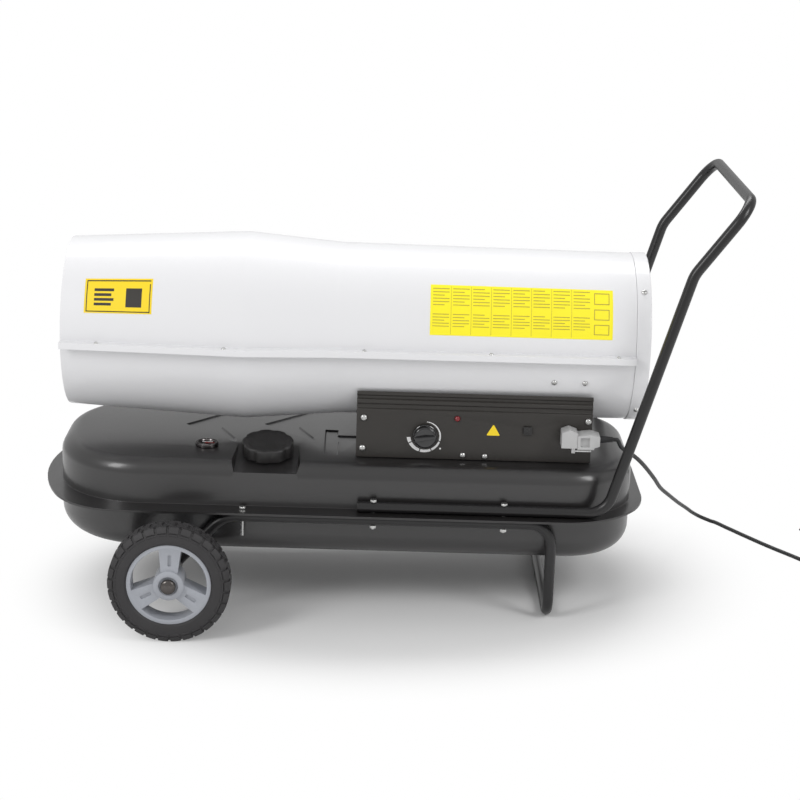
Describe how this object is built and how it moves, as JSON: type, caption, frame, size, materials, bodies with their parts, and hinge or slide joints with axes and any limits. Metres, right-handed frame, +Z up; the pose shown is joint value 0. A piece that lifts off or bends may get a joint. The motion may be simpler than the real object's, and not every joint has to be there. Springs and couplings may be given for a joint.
{
  "type": "forced air heater",
  "caption": "Mobile oil-fired forced air heater: white barrel with burner and fan on a black fuel tank, with tube handle, two wheels, foot, control box and mains lead.",
  "frame": {"origin": "on the floor under the middle of the heater's box, without its mains lead", "axes": "+X from the hot air outlet towards the fan and the handle, +Z up, -Y the side with the controls"},
  "size_m": [1.4407, 0.6086, 0.7176],
  "materials": {
    "tank_paint": "satin black paint",
    "tube_paint": "satin black powder coat",
    "panel_paint": "fine matt dark brown-grey powder coat",
    "white_paint": "glossy white enamel",
    "zinc_steel": "bright zinc plate",
    "gauge_chrome": "bright plated rim",
    "needle_red": "red",
    "brass": "bare brass",
    "heat_steel": "heat-resisting sheet",
    "ceramic": "glazed ceramic",
    "fan_aluminium": "pressed sheet",
    "machine_steel": "zinc plated",
    "motor_casting": "cast and painted silver",
    "tyre_rubber": "matt",
    "wheel_grey": "moulded",
    "black_plastic": "moulded",
    "red_lens": "clear red lens",
    "board_green": "lacquered board",
    "pale_grey_plastic": "moulded",
    "latch_steel": "sprung wire and strip",
    "cord_black": "satin"
  },
  "bodies": {
    "frame": {"tank_top": "tank_paint", "tank_bottom": "tank_paint", "drain_plug": "zinc_steel", "filler_neck": "tank_paint", "filler_strainer": "zinc_steel", "fuel_gauge": "gauge_chrome", "handle": "tube_paint", "support_frame": "tube_paint", "rail_bolt_near_1": "zinc_steel", "rail_nut_near_1": "zinc_steel", "rail_bolt_far_1": "zinc_steel", "rail_nut_far_1": "zinc_steel", "rail_bolt_near_2": "zinc_steel", "rail_nut_near_2": "zinc_steel", "rail_bolt_far_2": "zinc_steel", "rail_nut_far_2": "zinc_steel", "front_bolt_near": "zinc_steel", "front_bolt_far": "zinc_steel", "axle": "zinc_steel", "hub_cap_near": "black_plastic", "hub_cap_far": "black_plastic", "upper_shell": "white_paint", "lower_shell": "white_paint", "body_ring": "white_paint", "rear_guard": "machine_steel", "combustion_chamber": "heat_steel", "chamber_cradle": "heat_steel", "outlet_baffle": "heat_steel", "burner_head": "heat_steel", "nozzle": "brass", "ignition_electrodes": "ceramic", "motor": "motor_casting", "air_pump": "motor_casting", "filter_cover": "black_plastic", "motor_bracket": "machine_steel", "fuel_line": "brass", "control_box": "tank_paint", "control_panel": "panel_paint", "far_panel": "panel_paint", "indicator_lamp": "red_lens", "room_sensor": "black_plastic", "control_board": "board_green", "ignition_transformer": "black_plastic", "inlet_socket": "pale_grey_plastic", "cord_connector": "pale_grey_plastic", "strain_relief": "cord_black", "cord_coil": "cord_black", "cord_run": "cord_black", "mains_plug": "cord_black"},
    "wheel_near": {"tyre_near": "tyre_rubber", "wheel_rim_near": "wheel_grey"},
    "wheel_far": {"tyre_far": "tyre_rubber", "wheel_rim_far": "wheel_grey"},
    "fan_rotor": {"fan_blade": "fan_aluminium", "motor_shaft": "machine_steel"},
    "knob": {"thermostat_knob": "black_plastic"},
    "filler_cap": {"fuel_cap": "black_plastic"},
    "float": {"float_arm": "brass"},
    "needle": {"gauge_needle": "needle_red"},
    "latch": {"connector_latch": "latch_steel"}
  },
  "joints": [
    {"name": "wheel_near_spin", "type": "hinge", "parent": "frame", "child": "wheel_near", "pos_m": [-0.35381, -0.272, 0.1], "axis": [0, 1, 0], "continuous": true},
    {"name": "wheel_far_spin", "type": "hinge", "parent": "frame", "child": "wheel_far", "pos_m": [-0.35381, 0.272, 0.1], "axis": [0, 1, 0], "continuous": true},
    {"name": "fan_spin", "type": "hinge", "parent": "frame", "child": "fan_rotor", "pos_m": [0.14014, 0, 0.44898], "axis": [0.9995, 0, -0.0307], "continuous": true},
    {"name": "thermostat_turn", "type": "hinge", "parent": "frame", "child": "knob", "pos_m": [0.06316, -0.135, 0.30428], "axis": [0, -1, 0], "range_deg": [-200, 70]},
    {"name": "fuel_cap_turn", "type": "hinge", "parent": "frame", "child": "filler_cap", "pos_m": [-0.20033, -0.11356, 0.27617], "axis": [0.0304, -0.1564, 0.9872], "range_deg": [0, 90]},
    {"name": "float_swing", "type": "hinge", "parent": "frame", "child": "float", "pos_m": [-0.30688, -0.093, 0.1946], "axis": [0, 1, 0], "range_deg": [-46, 46]},
    {"name": "needle_turn", "type": "hinge", "parent": "frame", "child": "needle", "pos_m": [-0.3043, -0.093, 0.27856], "axis": [0.0307, 0, 0.9995], "range_deg": [-46, 46]},
    {"name": "latch_swing", "type": "hinge", "parent": "frame", "child": "latch", "pos_m": [0.30822, -0.15, 0.28624], "axis": [0, 1, 0], "range_deg": [0, 20]}
  ],
  "couplings": [
    {"joint": "needle_turn", "follows": "float_swing", "ratio": 1}
  ]
}
